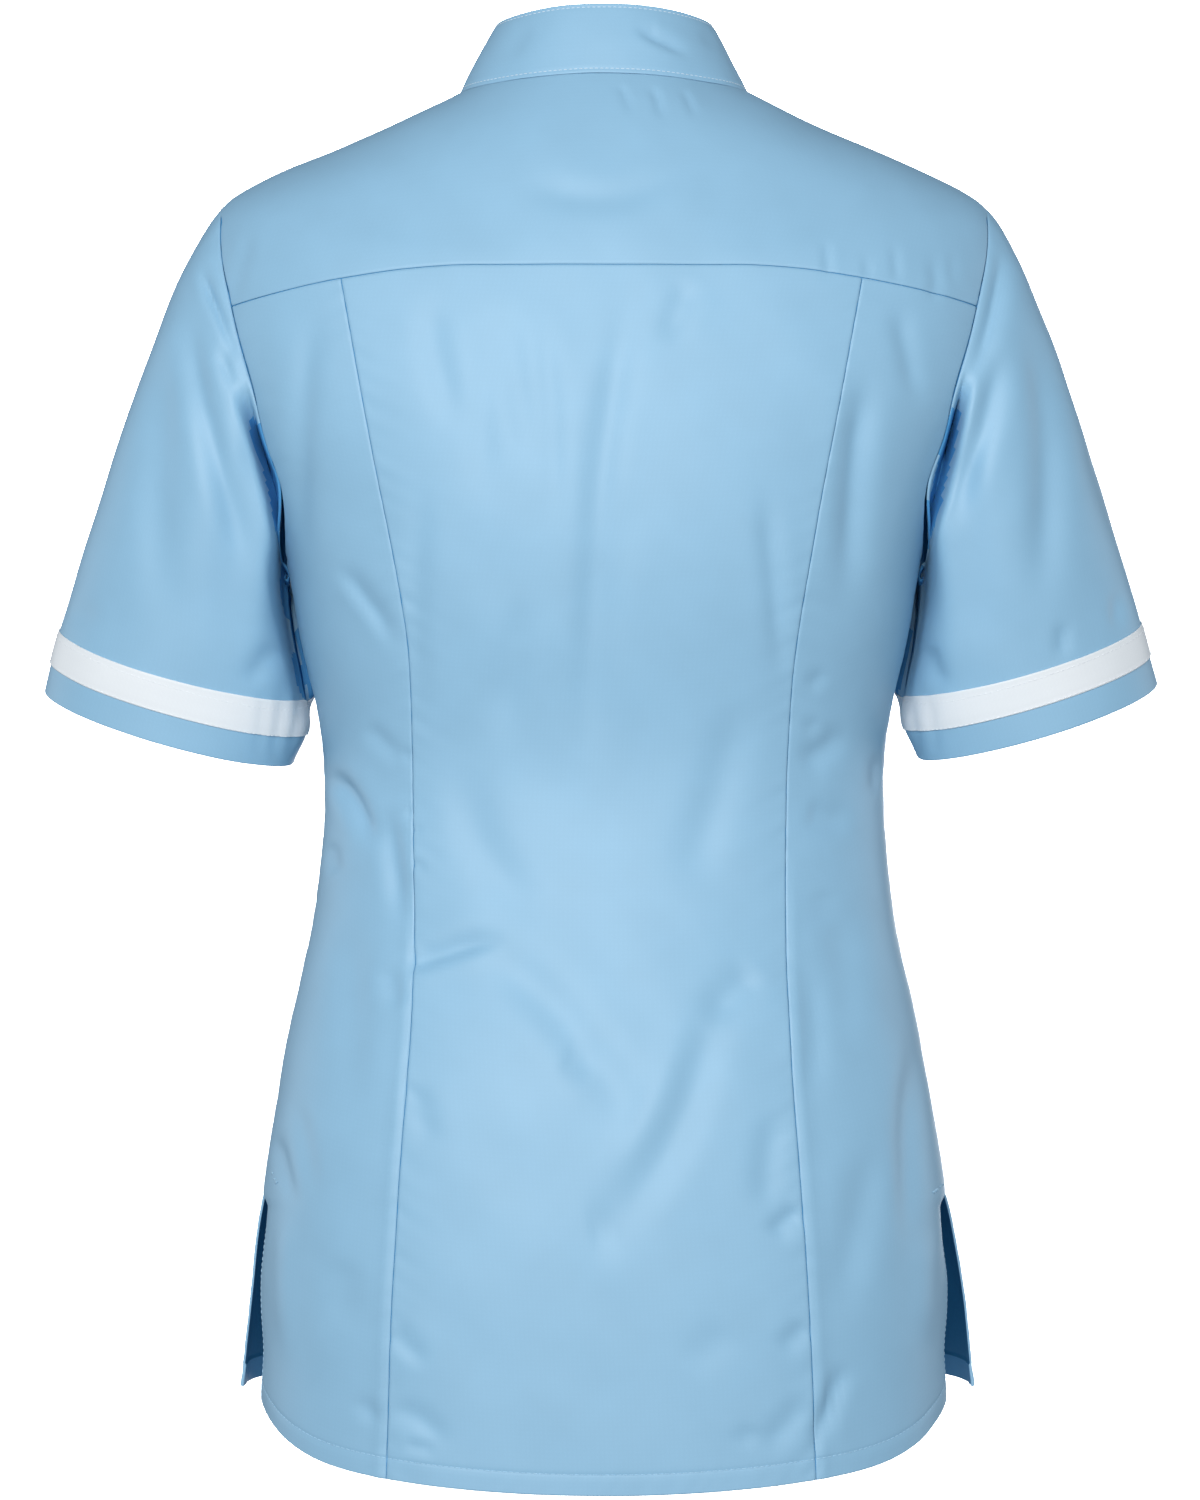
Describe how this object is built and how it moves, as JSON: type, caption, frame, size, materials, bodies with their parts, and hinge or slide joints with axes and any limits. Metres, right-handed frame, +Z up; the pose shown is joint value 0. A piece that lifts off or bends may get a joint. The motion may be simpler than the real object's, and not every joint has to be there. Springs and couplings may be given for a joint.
{
  "type": "work shirt",
  "caption": "Short-sleeved tunic-style work shirt in its worn shape, hollow, with a stand collar, back yoke, curved panel seams, taped sleeves and side vents.",
  "frame": {"origin": "midway between the two neck points, where the shoulder seams meet the collar, in the middle of the neck opening", "axes": "+Z up, +Y out of the wearer's back, +X to the wearer's left"},
  "size_m": [0.5665, 0.2733, 0.7357],
  "materials": {
    "blue_cloth": "light sky-blue polyester and cotton twill, matt",
    "white_tape": "white woven tape, matt",
    "button": "blue polyester, semi-gloss"
  },
  "bodies": {
    "root": {"back_centre": "blue_cloth", "side_back_left": "blue_cloth", "side_back_right": "blue_cloth", "yoke_back": "blue_cloth", "front_left": "blue_cloth", "front_right": "blue_cloth", "collar": "blue_cloth", "sleeve_left": "blue_cloth", "sleeve_right": "blue_cloth", "sleeve_tape_left": "white_tape", "sleeve_tape_right": "white_tape", "button_1": "button", "button_2": "button", "button_3": "button", "button_4": "button", "button_5": "button", "button_6": "button"}
  },
  "joints": []
}
